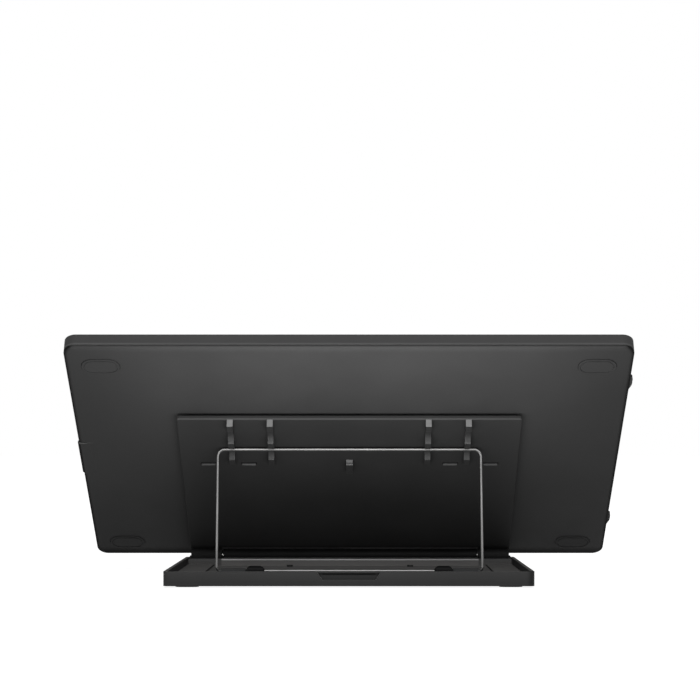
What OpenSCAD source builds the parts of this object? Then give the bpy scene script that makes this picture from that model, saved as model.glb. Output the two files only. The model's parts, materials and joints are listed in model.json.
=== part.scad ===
// Pen display on a folding stand: a thin screen tablet hooked to a tilting plate, which a
// wire bail props up from a shallow base tray.
// The screen faces -Y, the stand is behind it at +Y, and the object stands on z = 0.

/* [Display body] */
// Width of the display body
body_w = 376; // [340:1:420]
// Height of the display body, along its slope
body_h = 249.5; // [230:0.1:280]
// Thickness of the front frame, from the seam to the front
frame_t = 9.2; // [8:0.1:12]
// Thickness of the rear cover, from the seam to the back
cover_t = 2.4; // [2:0.1:5]
// Corner radius of the display body
corner_r = 8; // [5:0.5:14]
// Outer wall of the front frame and of the rear cover
shell_wall = 2.2; // [1.6:0.1:3]
// Floor thickness of the rear cover
cover_floor = 1.2; // [1:0.1:1.6]
// Width of the rounding round the back of the rear cover
edge_round_w = 4.5; // [2:0.5:6]
// Rise of the rounding round the back of the rear cover
edge_round_h = 1.8; // [1:0.1:1.9]
// Depth of the seam groove between frame and cover
seam_d = 0.6; // [0.4:0.1:1]
// Height of the seam groove
seam_h = 0.7; // [0.5:0.1:1.4]

/* [Screen stack] */
// Thickness of the cover glass
glass_t = 1.1; // [0.7:0.1:1.6]
// Rim of the front frame round the glass
glass_rim = 1.3; // [1:0.1:2]
// Border of the body beside the screen panel, left and right
screen_border_x = 35; // [32:0.5:40]
// Border of the body above and below the screen panel
screen_border_y = 35.2; // [20:0.2:40]
// Thickness of the screen panel, also of the frame's web round it
panel_t = 2; // [1.6:0.1:2.4]
// Thickness of the backlight
backlight_t = 2.2; // [1.8:0.1:2.4]
// Thickness of the pen sensor board
sensor_t = 0.8; // [0.6:0.1:1]
// Thickness of the steel shield behind the sensor board
shield_t = 0.4; // [0.3:0.1:0.5]
// Clearance of a loosely fitted piece, each side
loose_gap = 0.2; // [0.1:0.05:0.4]

/* [Electronics] */
// Width of the main board
board_w = 180; // [120:1:220]
// Height of the main board
board_h = 52; // [40:1:60]
// Distance of the main board's top edge from the top of the body
board_top_gap = 38; // [32:1:50]
// Thickness of a circuit board
board_t = 1; // [0.8:0.1:1.2]
// Height of the bosses that carry the boards
board_boss_h = 0.6; // [0.5:0.1:0.8]
// Diameter of the bosses that carry the boards
board_boss_d = 6; // [5:0.5:8]
// Height of the chips on the main board
chip_h = 0.8; // [0.6:0.1:1]

/* [Side port] */
// Length of the port pad on the side of the rear cover
port_pad_l = 37; // [30:1:44]
// Reach of the port pad on to the back
port_pad_w = 10; // [8:0.5:14]
// Height of the port pad above the cover
port_pad_h = 0.7; // [0.5:0.1:1]
// Length of the socket shell
socket_l = 22; // [16:1:26]
// Depth of the socket shell, into the body
socket_d = 12; // [9:0.5:15]
// Height of the socket shell
socket_h = 2.4; // [2.2:0.1:2.6]
// Wall of the socket shell
socket_wall = 0.5; // [0.3:0.05:0.7]

/* [Keys] */
// Width of a shortcut key
key_w = 10; // [8:0.5:12]
// Length of a shortcut key
key_l = 18; // [14:0.5:20]
// Distance between shortcut key centres
key_pitch = 22; // [21:0.5:26]
// Distance of the key column from the side of the body
key_inset = 17.5; // [15:0.5:18]
// Travel of a shortcut key
key_travel = 0.4; // [0.2:0.05:0.5]
// Height of a shortcut key above the glass
key_proud = 0.4; // [0.4:0.05:0.8]
// Width of the key's hidden flange
key_flange = 1; // [0.8:0.1:1.4]
// Border of the key bezel round the keys
bezel_border = 4; // [3.5:0.5:5]
// Length of the power button
power_l = 12; // [8:0.5:16]
// Thickness of the power button
power_w = 2.4; // [2:0.1:2.6]
// Height of the power button above the side
power_proud = 0.6; // [0.5:0.1:0.7]
// Travel of the power button
power_travel = 0.4; // [0.3:0.05:0.5]
// Distance of the power button above the middle of the side
power_rise = 60; // [40:1:70]

/* [Pads and lugs] */
// Length of a rubber foot on the display's back
foot_l = 25.4; // [20:0.2:30]
// Width of a rubber foot on the display's back
foot_w = 15.2; // [10:0.2:16]
// Height of a rubber foot above the back
foot_proud = 0.5; // [0.4:0.1:1.2]
// Depth of a rubber foot's seat
foot_seat = 0.5; // [0.4:0.1:0.5]
// Distance of the feet from the side of the body
foot_side_gap = 23.5; // [20:0.5:30]
// Distance of the upper feet from the top edge
foot_top_gap = 19.5; // [16:0.5:30]
// Distance of the lower feet from the bottom edge
foot_bottom_gap = 17.5; // [14:0.5:26]
// Diameter of a cover screw's head
screw_head_d = 5; // [4:0.1:6]
// Height of a cover screw's head
screw_head_h = 0.5; // [0.4:0.1:0.6]
// Diameter of a cover screw's shank
screw_d = 2.5; // [2:0.1:3]
// Length of a cover screw's shank
screw_l = 6; // [5:0.5:6.5]
// Length of a side lug
lug_l = 13; // [9:0.5:16]
// Height of a side lug above the side
lug_h = 2; // [1.2:0.1:2.6]
// Width of a side lug, along the body's thickness
lug_w = 3.4; // [2.6:0.1:4.4]
// Distance of the side lugs from the middle of the side
lug_gap = 82; // [60:1:90]

/* [Stand plate] */
// Tilt of the plate and display above the desk
tilt = 35.5; // [33:0.5:39]
// Width of the stand plate
plate_w = 234.6; // [226:0.2:237]
// Distance of the plate's top edge from the hinge axis
plate_top = 167; // [166:0.5:175]
// Distance of the plate's bottom edge from the hinge axis
plate_bottom = 7; // [6.5:0.5:9]
// Thickness of the stand plate
plate_t = 3; // [2.6:0.1:3.6]
// Distance of the plate's rear face from the hinge axis
plate_rear = 2.3; // [2:0.1:2.8]
// Corner radius of the stand plate
plate_corner_r = 1.5; // [1:0.5:6]
// Gap between the plate and the display's back
plate_gap = 2.7; // [2.2:0.1:3]
// Drop of the display's bottom edge below the hinge axis
display_drop = 11.8; // [9:0.1:11.9]
// Length of a slit in the plate, where a hook tongue is
slit_l = 10.9; // [9:0.1:13]
// Width of a slit in the plate
slit_w = 2.8; // [2.4:0.1:3.2]
// Distance of the outer hook tongues from the middle
tongue_outer_x = 98.5; // [94:0.5:102]
// Distance of the inner hook tongues from the middle
tongue_inner_x = 70.3; // [68:0.1:73]
// Distance of the hook tongues from the hinge axis
tongue_y = 116.7; // [105:0.1:120]
// Thickness of a hook tongue
tongue_t = 1.4; // [1.2:0.1:1.8]

/* [Hook strips] */
// Width of a hook strip
strip_w = 4; // [3.4:0.1:5.5]
// Distance of the outer hook strips from the middle
strip_outer_x = 81.2; // [79:0.1:83]
// Distance of the inner hook strips from the middle
strip_inner_x = 54; // [50:0.5:58]
// Distance of the middle seat from the hinge axis
seat_mid = 135.5; // [134:0.5:136]
// Distance between seats
seat_pitch = 19; // [18:0.5:19.5]
// Height of the bail's bar above the plate when seated
seat_h = 3.2; // [3:0.1:3.4]
// Height of the teeth above the plate
tooth_h = 6.2; // [5.6:0.1:6.6]
// Length of a tooth's flat tip
tooth_land = 4.5; // [3.5:0.1:5]
// Length of a tooth's sloping underside
tooth_under = 5.8; // [5.4:0.1:6.2]
// Gap round the bail's bar in its seat
seat_gap = 0.2; // [0.1:0.05:0.3]
// Width of the centre clip
clip_w = 4.6; // [3.6:0.1:6]
// Reach of the centre clip's tongue
clip_reach = 10.5; // [9:0.5:12]
// Thickness of the centre clip's tongue
clip_t = 1; // [0.8:0.1:1.2]
// Length of the centre clip's root on the plate
clip_root = 1.6; // [1.2:0.1:2.4]

/* [Hinge] */
// Height of the hinge axis above the desk
hinge_z = 12; // [11.5:0.1:12.5]
// Radius of the hinge barrel and knuckles
barrel_r = 4.5; // [4:0.1:4.8]
// Half length of the hinge barrel
barrel_half = 93.7; // [90:0.1:96]
// Gap between the barrel and each knuckle
knuckle_gap = 0.8; // [0.4:0.1:1]
// Diameter of a hinge pin
pin_d = 3; // [2.5:0.1:4]
// Length of a hinge pin in the barrel
pin_in_barrel = 14; // [10:1:20]
// Running clearance of a hinge pin in its knuckle, each side
pin_gap = 0.05; // [0.03:0.01:0.08]
// Skin of the knuckle over the end of the pin
knuckle_skin = 1.5; // [1:0.1:3]

/* [Base tray] */
// Width of the base tray
base_w = 243; // [240:0.5:252]
// Depth of the base tray, front to back
base_d = 200; // [198:1:220]
// Height of the base tray without its feet
base_h = 9.5; // [9:0.1:10.5]
// Depth of the tray's hollow
tray_d = 6; // [5.4:0.1:6.4]
// Wall of the base tray
tray_wall = 2.5; // [2:0.1:2.8]
// Corner radius of the base tray
base_corner_r = 4; // [2.5:0.5:5]
// Distance from the tray's front to the hinge axis
hinge_inset = 6; // [5.5:0.1:7]
// Height of the raised strips along the tray's sides
side_step_h = 1.2; // [0.8:0.1:1.6]
// Distance of the raised strips from the middle
side_step_x = 100; // [98:0.5:106]
// Reach of the hinge block behind the axis
block_reach = 9; // [8:0.5:9.5]
// Height of the hinge block above the desk
block_top = 9.4; // [9:0.1:10]
// Height of the hinge block's front wall above the desk
block_front_top = 11.4; // [11:0.1:11.6]
// Room round a knuckle in the hinge block
knuckle_room = 0.6; // [0.4:0.1:0.7]
// Round along the hinge block's rear edge
block_round = 1.6; // [1:0.1:2]
// Width of the finger recess at its top
recess_w = 41; // [30:1:50]
// Slope of the finger recess, each side
recess_slope = 3.2; // [2:0.1:5]
// Height of the finger recess
recess_h = 5.5; // [4:0.1:6]
// Depth of the finger recess into the rear wall
recess_d = 2; // [1.5:0.1:3]
// Roof of the finger recess under the rim
recess_roof = 0.7; // [0.5:0.1:1]
// Height of the finger groove along the top of the recess
groove_h = 1.5; // [1:0.1:2]
// Depth of the finger groove beyond the recess
groove_d = 1.2; // [0.8:0.1:1.4]
// Wall behind the finger groove
recess_wall = 1.6; // [1.2:0.1:2]
// Depth of the hollow under the base tray
under_d = 1.5; // [1:0.1:2]
// Thickness of the ribs under the base tray
under_rib = 1.6; // [1.2:0.1:2.4]
// Height of a base foot below the tray
base_foot_h = 1; // [0.8:0.1:1.5]
// Depth of a base foot's seat in the tray
base_foot_seat = 0.8; // [0.5:0.1:1]
// Length of a base foot
base_foot_l = 15.4; // [12:0.2:18]
// Width of a base foot
base_foot_w = 9; // [7:0.2:11]
// Distance of the base feet from the middle
base_foot_x = 106.5; // [100:0.5:108]
// Distance of the base feet from the tray's front and rear
base_foot_y = 12; // [10:0.5:16]

/* [Wire bail] */
// Diameter of the bail wire
wire_d = 1.8; // [1.6:0.1:2.2]
// Distance from the hinge axis back to the bail's pivot
bail_back = 96; // [95:0.5:97]
// Half width of the bail at its pivot bar
bail_half_low = 92.6; // [91:0.1:94]
// Half width of the bail at its top bar
bail_half_top = 90.7; // [89:0.1:92]
// Bend radius at the top corners, to the middle of the wire
bend_top_r = 5; // [4:0.5:8]
// Bend radius at the lower corners, to the middle of the wire
bend_low_r = 2.5; // [2:0.5:5]
// Gap between the pivot bar and the tray floor
bail_floor_gap = 0.2; // [0.1:0.05:0.3]
// Distance of the bail retainers from the middle
retainer_x = 65.7; // [60:0.1:72]
// Width of a bail retainer
retainer_w = 13; // [9:0.2:14]
// Length of a bail retainer's foot, front to back
retainer_l = 15; // [14:0.5:18]
// Wall of a bail retainer over the wire
retainer_wall = 2.6; // [1.8:0.1:3]
// Height of a bail retainer's foot
retainer_foot_h = 2.1; // [1.9:0.1:2.4]
// Round of a bail retainer's shoulders
retainer_round = 4; // [2:0.1:4.2]
// Gap between a bar cover and the bail's bend
cover_gap = 0.3; // [0.2:0.1:1]
// Wall of a bar cover over the wire
sleeve_wall = 0.8; // [0.6:0.1:1.2]
// Running clearance of the pivot bar in its retainer, each side
pivot_gap = 0.08; // [0.04:0.01:0.1]
// Diameter of a retainer screw's head
small_screw_d = 3.4; // [3:0.1:3.6]
// Height of a retainer screw's head
small_screw_h = 0.8; // [0.6:0.1:1]
// Diameter of a retainer screw's shank
small_shank_d = 1.8; // [1.5:0.1:2]
// Bite of a retainer screw in its retainer
small_bite = 1.5; // [1.2:0.1:1.7]
// Distance of the hinge block's screws from the middle
block_screw_x = 44; // [36:0.5:50]
// Distance of the hinge block's screws behind the hinge axis
block_screw_y = 20; // [16:0.5:24]
// Diameter of a hinge block screw's head
block_screw_d = 4.6; // [4:0.1:5.4]
// Height of a hinge block screw's head
block_screw_h = 1.2; // [0.8:0.1:1.6]

/* [Hidden] */
$fn = 48;
EPS = 0.01;

KEY_COUNT = 4;
BLACK = "#26272a";
DARK = "#1b1c1e";
RUBBER = "#101113";
STEEL = "#b9bcc0";
BOARD = "#1f5a3a";

// The display in the plate's frame: y runs up the plate from the hinge axis, z to the front
body_t = cover_t + frame_t;
plate_front = plate_rear + plate_t;
back_z = plate_front + plate_gap;
front_z = back_z + body_t;
body_bottom = -display_drop;
body_top = body_bottom + body_h;
body_mid = body_bottom + body_h / 2;
panel_w = body_w - 2 * screen_border_x;
panel_h = body_h - 2 * screen_border_y;
foot_x = body_w / 2 - foot_side_gap;
power_y = body_mid + power_rise;
seam_z = back_z + cover_t;
web_top_z = front_z - glass_t;
web_low_z = web_top_z - panel_t;
backlight_z = web_low_z - backlight_t;
sensor_z = backlight_z - sensor_t;
shield_z = sensor_z - shield_t;
floor_z = back_z + cover_floor;
board_z = floor_z + board_boss_h;

// The world place of the hinge axis: the object's box is centred on the origin
front_reach = display_drop * cos(tilt) + front_z * sin(tilt);
rear_reach = base_d - hinge_inset;
hinge_y = (front_reach - rear_reach) / 2;

// The base tray
tray_front = hinge_y - hinge_inset;
tray_rear = tray_front + base_d;
base_z = base_foot_h;
rim_z = base_z + base_h;
tray_floor_z = rim_z - tray_d;

// The bail between its pivot and its seat
wire_r = wire_d / 2;
pivot_y = hinge_y + bail_back;
pivot_z = tray_floor_z + bail_floor_gap + wire_r;
seat_z = plate_rear - seat_h;
bar_y = hinge_y + seat_mid * cos(tilt) - seat_z * sin(tilt);
bar_z = hinge_z + seat_mid * sin(tilt) + seat_z * cos(tilt);
bail_l = norm([bar_y - pivot_y, bar_z - pivot_z]);
bail_lean = atan2(bar_y - pivot_y, bar_z - pivot_z);
bail_taper = atan((bail_half_low - bail_half_top) / bail_l);

// Keys
key_x = -body_w / 2 + key_inset;
key_run = (KEY_COUNT - 1) * key_pitch + key_l;
bezel_w = key_w + 2 * bezel_border;
bezel_l = key_run + 2 * bezel_border;
key_bay_w = key_w + 2 * (key_flange + loose_gap);
key_bay_l = key_run + 2 * (key_flange + loose_gap);
key_base_z = web_top_z - key_flange - loose_gap;
power_z = (seam_z + seam_h + web_low_z) / 2;

function foot_places() = [
    for (side = [-1, 1])
        for (level = [body_top - foot_top_gap, body_bottom + foot_bottom_gap])
            [side * foot_x, level]
];
function key_y(index) = body_mid + (index - (KEY_COUNT + 1) / 2) * key_pitch;

// Turns the plate's frame into the world at the given tilt
module on_plate() {
    translate([0, hinge_y, hinge_z])
        rotate([tilt, 0, 0])
            children();
}

// A rectangle with round corners, centred
module round_rect(w, h, r) {
    square([w - 2 * r, h], center = true);
    square([w, h - 2 * r], center = true);
    for (side_x = [-1, 1])
        for (side_y = [-1, 1])
            translate([side_x * (w / 2 - r), side_y * (h / 2 - r)])
                circle(r);
}

// A slab of the display's outline, from one height to another, drawn in by a margin
module body_slab(low, high, margin) {
    translate([0, body_mid, low])
        linear_extrude(high - low)
            round_rect(body_w - 2 * margin, body_h - 2 * margin, max(corner_r - margin, 0.8));
}

// A pill lying along X, centred, standing on z = 0
module pill(l, w, h) {
    linear_extrude(h)
        round_rect(l, w, w / 2 - EPS);
}

// A box centred in X and Y, standing on z = 0
module block(w, h, t) {
    translate([-w / 2, -h / 2, 0])
        cube([w, h, t]);
}

// Turns a piece that stands on z = 0 so that it points into the body from its right side
module into_side() {
    rotate([0, -90, 0])
        rotate([0, 0, 90])
            children();
}

module cover_glass() {
    color("#0b0c0e")
        on_plate()
            difference() {
                body_slab(web_top_z, front_z, glass_rim + loose_gap);
                translate([key_x, body_mid, web_top_z - EPS])
                    linear_extrude(glass_t + 2 * EPS)
                        round_rect(bezel_w + 2 * loose_gap, bezel_l + 2 * loose_gap, bezel_border);
            }
}

module lcd_panel() {
    color("#15171c")
        on_plate()
            translate([0, body_mid, web_low_z])
                block(panel_w, panel_h, panel_t);
}

module backlight_unit() {
    color("#d9dde0")
        on_plate()
            translate([0, body_mid, backlight_z])
                block(panel_w, panel_h, backlight_t);
}

module sensor_board() {
    color(BOARD)
        on_plate()
            translate([0, body_mid, sensor_z])
                block(panel_w, panel_h, sensor_t);
}

module shield_plate() {
    fold = 6;
    color(STEEL)
        on_plate()
            translate([0, body_mid, shield_z])
                block(panel_w - fold, panel_h - fold, shield_t);
}

// The frame's screw bosses reach from the web down to the seam
module frame_bosses() {
    boss_d = screw_head_d + 2;
    for (place = foot_places())
        translate([place[0], place[1], seam_z])
            cylinder(d = boss_d, h = web_low_z - seam_z);
}

// A lug on the user's left side: a sharp upper shoulder and a long ramp below
module side_lug(level) {
    translate([-body_w / 2, level, seam_z + seam_h])
        linear_extrude(lug_w)
            polygon([
                [1, lug_l / 2], [-lug_h * 0.8, lug_l * 0.46], [-lug_h, lug_l * 0.38], [-lug_h, 0],
                [-lug_h * 0.8, -lug_l * 0.16], [0, -lug_l / 2], [1, -lug_l / 2]
            ]);
}

module front_frame() {
    power_slot_l = power_l + 2 * loose_gap;
    power_slot_w = power_w + 2 * loose_gap;
    color(BLACK)
        on_plate()
            difference() {
                union() {
                    difference() {
                        union() {
                            body_slab(seam_z + seam_h, front_z, 0);
                            body_slab(seam_z, seam_z + seam_h + EPS, seam_d);
                        }
                        body_slab(web_top_z, front_z + 1, glass_rim);
                        body_slab(seam_z - 1, web_low_z, shell_wall);
                    }
                    frame_bosses();
                    for (side = [-1, 1])
                        side_lug(body_mid + side * lug_gap);
                }
                translate([0, body_mid, web_low_z - 1])
                    block(panel_w + 2 * loose_gap, panel_h + 2 * loose_gap, panel_t + 2);
                translate([key_x, body_mid, web_low_z - 1])
                    block(key_bay_w, key_bay_l, panel_t + 2);
                translate([body_w / 2 + 1, power_y, power_z])
                    into_side()
                        pill(power_slot_l, power_slot_w, shell_wall + 2);
                translate([socket_x - 1, body_mid - socket_l / 2 - loose_gap, seam_z - 1])
                    cube([socket_d + 2, socket_l + 2 * loose_gap, port_board_z + loose_gap - seam_z + 1]);
                for (place = foot_places())
                    translate([place[0], place[1], back_z])
                        cylinder(d = screw_d, h = foot_seat + screw_l + 0.5);
            }
}

// The port pad on the user's right: a wedge that swells the cover's edge and fades inwards
module port_pad() {
    run = port_pad_l - 2 * port_pad_h;
    translate([body_w / 2, body_mid, back_z])
        hull() {
            translate([-port_pad_w, -port_pad_l / 2, 0])
                cube([1, port_pad_l, cover_floor]);
            translate([-edge_round_w / 2, -run / 2, -port_pad_h])
                cube([1, run, 1]);
            translate([-1, -run / 2, edge_round_h / 2])
                cube([1 + port_pad_h, run, cover_t - edge_round_h / 2]);
        }
}

// The cover's outside: its edge rolls over to the back along a quarter of an ellipse
module cover_outside() {
    steps = 6;
    hull()
        for (step = [0:steps]) {
            angle = 90 * step / steps;
            low = back_z + edge_round_h * (1 - cos(angle));
            body_slab(low, step == steps ? seam_z : low + EPS, edge_round_w * (1 - sin(angle)));
        }
    port_pad();
}

// Bosses that carry a board of the given size, near its corners
module board_bosses(w, h, boss_h) {
    for (side_x = [-1, 1])
        for (side_y = [-1, 1])
            translate([side_x * (w - board_boss_d) / 2, side_y * (h - board_boss_d) / 2, floor_z - EPS])
                cylinder(d = board_boss_d, h = boss_h + EPS);
}

main_board_y = body_top - board_top_gap - board_h / 2;
port_board_w = socket_d + 2 * board_boss_d;
port_board_h = socket_l + 2 * board_boss_d;
port_board_x = body_w / 2 - shell_wall - loose_gap - port_board_w / 2;
socket_z = floor_z;
port_board_z = socket_z + socket_h;
socket_x = body_w / 2 + port_pad_h - socket_d;

module rear_cover() {
    slot_l = slit_l + 2 * loose_gap;
    slot_w = 3 * tongue_t + 2 * loose_gap;
    color(BLACK)
        on_plate()
            difference() {
                union() {
                    difference() {
                        cover_outside();
                        body_slab(floor_z, seam_z + 1, shell_wall + edge_round_w / 2);
                    }
                    translate([0, main_board_y, 0])
                        board_bosses(board_w, board_h, board_boss_h);
                    translate([port_board_x, body_mid, 0])
                        board_bosses(port_board_w, port_board_h, socket_h);
                    for (place = foot_places())
                        translate([place[0], place[1], back_z + EPS])
                            cylinder(d = screw_head_d + 2, h = cover_t - EPS);
                }
                for (place = foot_places())
                    translate([place[0], place[1], back_z]) {
                        translate([0, 0, -EPS])
                            pill(foot_l + 2 * loose_gap, foot_w + 2 * loose_gap, foot_seat + EPS);
                        cylinder(d = screw_head_d + 2 * loose_gap, h = foot_seat + screw_head_h);
                        cylinder(d = screw_d + 2 * loose_gap, h = cover_t + 1);
                    }
                for (x = [-tongue_outer_x, -tongue_inner_x, tongue_inner_x, tongue_outer_x])
                    translate([x, tongue_y - tongue_t, back_z - 1])
                        block(slot_l, slot_w, cover_floor + 2);
                translate([socket_x - loose_gap, body_mid - socket_l / 2 - loose_gap, socket_z])
                    cube([socket_d + 2, socket_l + 2 * loose_gap, socket_h]);
            }
}

module main_board() {
    color(BOARD)
        on_plate()
            translate([0, main_board_y, board_z]) {
                block(board_w, board_h, board_t);
                for (x = [-board_w / 4, 0, board_w / 4])
                    translate([x, 0, board_t])
                        block(board_h / 3, board_h / 3, chip_h);
            }
}

module port_board() {
    color(BOARD)
        on_plate()
            translate([port_board_x, body_mid, port_board_z])
                block(port_board_w, port_board_h, board_t);
}

// A flat metal socket, open to the side, with a tongue inside
module port_socket() {
    tongue_h = 0.6;
    color(STEEL)
        on_plate()
            translate([socket_x, body_mid, socket_z]) {
                difference() {
                    translate([0, -socket_l / 2, 0])
                        cube([socket_d, socket_l, socket_h]);
                    translate([socket_wall, -socket_l / 2 + socket_wall, socket_wall])
                        cube([socket_d, socket_l - 2 * socket_wall, socket_h - 2 * socket_wall]);
                }
                translate([0, -socket_l / 2 + 3 * socket_wall, (socket_h - tongue_h) / 2])
                    cube([socket_d - 2, socket_l - 6 * socket_wall, tongue_h]);
            }
}

module key_bezel() {
    color(DARK)
        on_plate()
            difference() {
                translate([key_x, body_mid, web_top_z])
                    linear_extrude(glass_t)
                        round_rect(bezel_w, bezel_l, bezel_border);
                for (index = [1:KEY_COUNT])
                    translate([key_x, key_y(index), web_top_z - EPS])
                        linear_extrude(glass_t + 2 * EPS)
                            round_rect(key_w + 2 * loose_gap, key_l + 2 * loose_gap, 2 + loose_gap);
            }
}

module key_board() {
    dome_h = key_base_z - key_travel - 0.1 - web_low_z;
    color(BOARD)
        on_plate() {
            translate([key_x, body_mid, web_low_z - board_t])
                block(key_bay_w + 4, key_bay_l + 8, board_t);
            for (index = [1:KEY_COUNT])
                translate([key_x, key_y(index), web_low_z - EPS])
                    cylinder(d = key_w / 2, h = dome_h + EPS);
        }
}

// A shortcut key: a cap through the bezel on a flange that the bezel holds in
module shortcut_key(index) {
    color(BLACK)
        on_plate()
            translate([key_x, key_y(index), key_base_z]) {
                linear_extrude(front_z + key_proud - key_base_z)
                    round_rect(key_w, key_l, 2);
                block(key_w + 2 * key_flange, key_l + 2 * key_flange, key_flange);
            }
}

module key_1() {
    shortcut_key(1);
}

module key_2() {
    shortcut_key(2);
}

module key_3() {
    shortcut_key(3);
}

module key_4() {
    shortcut_key(4);
}

// The power button: a pill through the right side wall, with a flange inside
module power_button() {
    neck = power_proud + shell_wall + loose_gap;
    color(DARK)
        on_plate()
            translate([body_w / 2 + power_proud, power_y, power_z])
                into_side() {
                    pill(power_l, power_w, neck + EPS);
                    translate([0, 0, neck])
                        pill(power_l + 2.4, power_w + 0.8, key_flange);
                }
}

// The switch behind the power button, hung from the frame's web
module power_switch() {
    stem_x = body_w / 2 - shell_wall - loose_gap - key_flange - power_travel - 0.1;
    body_d = 4;
    stem_d = 1.2;
    color("#3a3b3d")
        on_plate() {
            translate([stem_x - stem_d - body_d, power_y - power_l / 4, shield_z])
                cube([body_d, power_l / 2, web_low_z - shield_z]);
            translate([stem_x - stem_d - EPS, power_y - 1, power_z - 0.6])
                cube([stem_d + EPS, 2, 1.2]);
        }
}

module foot_pad(place) {
    translate([place[0], place[1], back_z - foot_proud])
        difference() {
            pill(foot_l, foot_w, foot_proud + foot_seat);
            translate([0, 0, -EPS])
                difference() {
                    pill(foot_l - 2.4, foot_w - 2.4, 0.3);
                    translate([0, 0, -EPS])
                        pill(foot_l - 4, foot_w - 4, 0.4);
                }
        }
}

module upper_feet() {
    color(RUBBER)
        on_plate()
            for (place = foot_places())
                if (place[1] > body_mid)
                    foot_pad(place);
}

module lower_feet() {
    color(RUBBER)
        on_plate()
            for (place = foot_places())
                if (place[1] < body_mid)
                    foot_pad(place);
}

module cover_screws() {
    color(STEEL)
        on_plate()
            for (place = foot_places())
                translate([place[0], place[1], back_z + foot_seat]) {
                    cylinder(d = screw_head_d, h = screw_head_h);
                    cylinder(d = screw_d, h = screw_l);
                }
}

// A tongue that stands on the plate's front, passes the display's back and hooks up behind it
module hook_tongue(x) {
    lip_z = floor_z + loose_gap;
    translate([x - slit_l / 2, tongue_y - tongue_t / 2, plate_front - EPS])
        cube([slit_l, tongue_t, lip_z + tongue_t - plate_front + EPS]);
    translate([x - slit_l / 2, tongue_y - tongue_t / 2, lip_z])
        cube([slit_l, 3 * tongue_t, tongue_t]);
}

// A knuckle at one end of the plate, round the hinge axis
module knuckle(side) {
    near_x = barrel_half + knuckle_gap;
    knuckle_l = plate_w / 2 - near_x;
    start_x = side > 0 ? near_x : -plate_w / 2;
    translate([start_x, 0, 0]) {
        rotate([0, 90, 0])
            cylinder(r = barrel_r, h = knuckle_l);
        translate([0, 0, plate_rear])
            cube([knuckle_l, plate_bottom + plate_corner_r, barrel_r - plate_rear]);
        translate([0, plate_bottom - plate_rear, plate_rear])
            cube([knuckle_l, plate_rear + plate_corner_r, plate_t]);
    }
}

module stand_plate() {
    plate_l = plate_top - plate_bottom;
    bevel = 1.2;
    pin_reach = plate_w / 2 - knuckle_skin;
    color(DARK)
        on_plate()
            difference() {
                union() {
                    translate([0, (plate_top + plate_bottom) / 2, plate_rear])
                        linear_extrude(plate_t)
                            round_rect(plate_w, plate_l, plate_corner_r);
                    for (side = [-1, 1])
                        knuckle(side);
                    for (x = [-tongue_outer_x, -tongue_inner_x, tongue_inner_x, tongue_outer_x])
                        hook_tongue(x);
                }
                translate([-pin_reach, 0, 0])
                    rotate([0, 90, 0])
                        cylinder(r = pin_d / 2 + pin_gap, h = 2 * pin_reach);
                for (x = [-tongue_outer_x, -tongue_inner_x, tongue_inner_x, tongue_outer_x])
                    translate([x, tongue_y - tongue_t / 2 - slit_w / 2, plate_rear - 1]) {
                        block(slit_l, slit_w, plate_t + 2);
                        translate([-slit_l / 2 + bevel / 2, -slit_w / 2, 1])
                            rotate([45, 0, 0])
                                translate([0, -bevel / 2, -bevel / 2])
                                    cube([slit_l - bevel, bevel, bevel]);
                    }
                translate([-plate_w / 2 - 1, plate_top, plate_rear])
                    rotate([45, 0, 0])
                        translate([0, -bevel / 2, -bevel / 2])
                            cube([plate_w + 2, bevel, bevel]);
            }
}

// The side view of a hook strip: y up the plate, height above its rear face
valley_h = seat_h - wire_r - seat_gap;
valley_low = -0.9;
valley_high = 0.7;
ramp_steps = 6;
ramp_low = valley_high + tooth_under + tooth_land;
function ramp_point(share) = [
    ramp_low + (seat_pitch + valley_low - ramp_low) * share,
    valley_h + (tooth_h - valley_h) * pow(1 - share, 2)
];
function seat_y(index) = seat_mid + index * seat_pitch;
// One seat, the tooth above it, and the hollow ramp down to the next seat
function seat_outline(index) = concat(
    [[seat_y(index) + valley_low, valley_h], [seat_y(index) + valley_high, valley_h]],
    [[seat_y(index) + valley_high + tooth_under, tooth_h]],
    [for (step = [0:ramp_steps - 1]) [seat_y(index), 0] + ramp_point(step / ramp_steps)]
);
top_seat_outline = [
    [seat_y(1) + valley_low, valley_h],
    [seat_y(1) + valley_high, valley_h],
    [seat_y(1) + valley_high + tooth_under, tooth_h],
    [plate_top - 0.3, tooth_h],
    [plate_top - 0.3, 0]
];
strip_outline = concat(
    [[seat_y(-1) + valley_low - valley_h, 0]],
    seat_outline(-1), seat_outline(0), top_seat_outline
);

module hook_strips() {
    color("#6d7073")
        on_plate()
            for (x = [-strip_outer_x, -strip_inner_x, strip_inner_x, strip_outer_x])
                translate([x - strip_w / 2, 0, plate_rear])
                    rotate([0, 90, 0])
                        linear_extrude(strip_w)
                            polygon([for (point = strip_outline) [point[1], point[0]]]);
}

// The clip that keeps the bar in the steepest seat
module bar_clip() {
    root_y = seat_y(-1) + wire_r + seat_gap;
    tip_y = root_y + clip_root - clip_reach;
    clip_h = seat_h + wire_r + seat_gap / 2 + clip_t;
    color("#55585b")
        on_plate()
            translate([0, 0, plate_rear - clip_h]) {
                translate([-clip_w / 2, root_y, 0])
                    cube([clip_w, clip_root, clip_h]);
                translate([-clip_w / 2, tip_y + clip_w / 2, 0])
                    cube([clip_w, root_y - tip_y, clip_t]);
                translate([0, tip_y + clip_w / 2, 0])
                    cylinder(d = clip_w, h = clip_t);
            }
}

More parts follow.
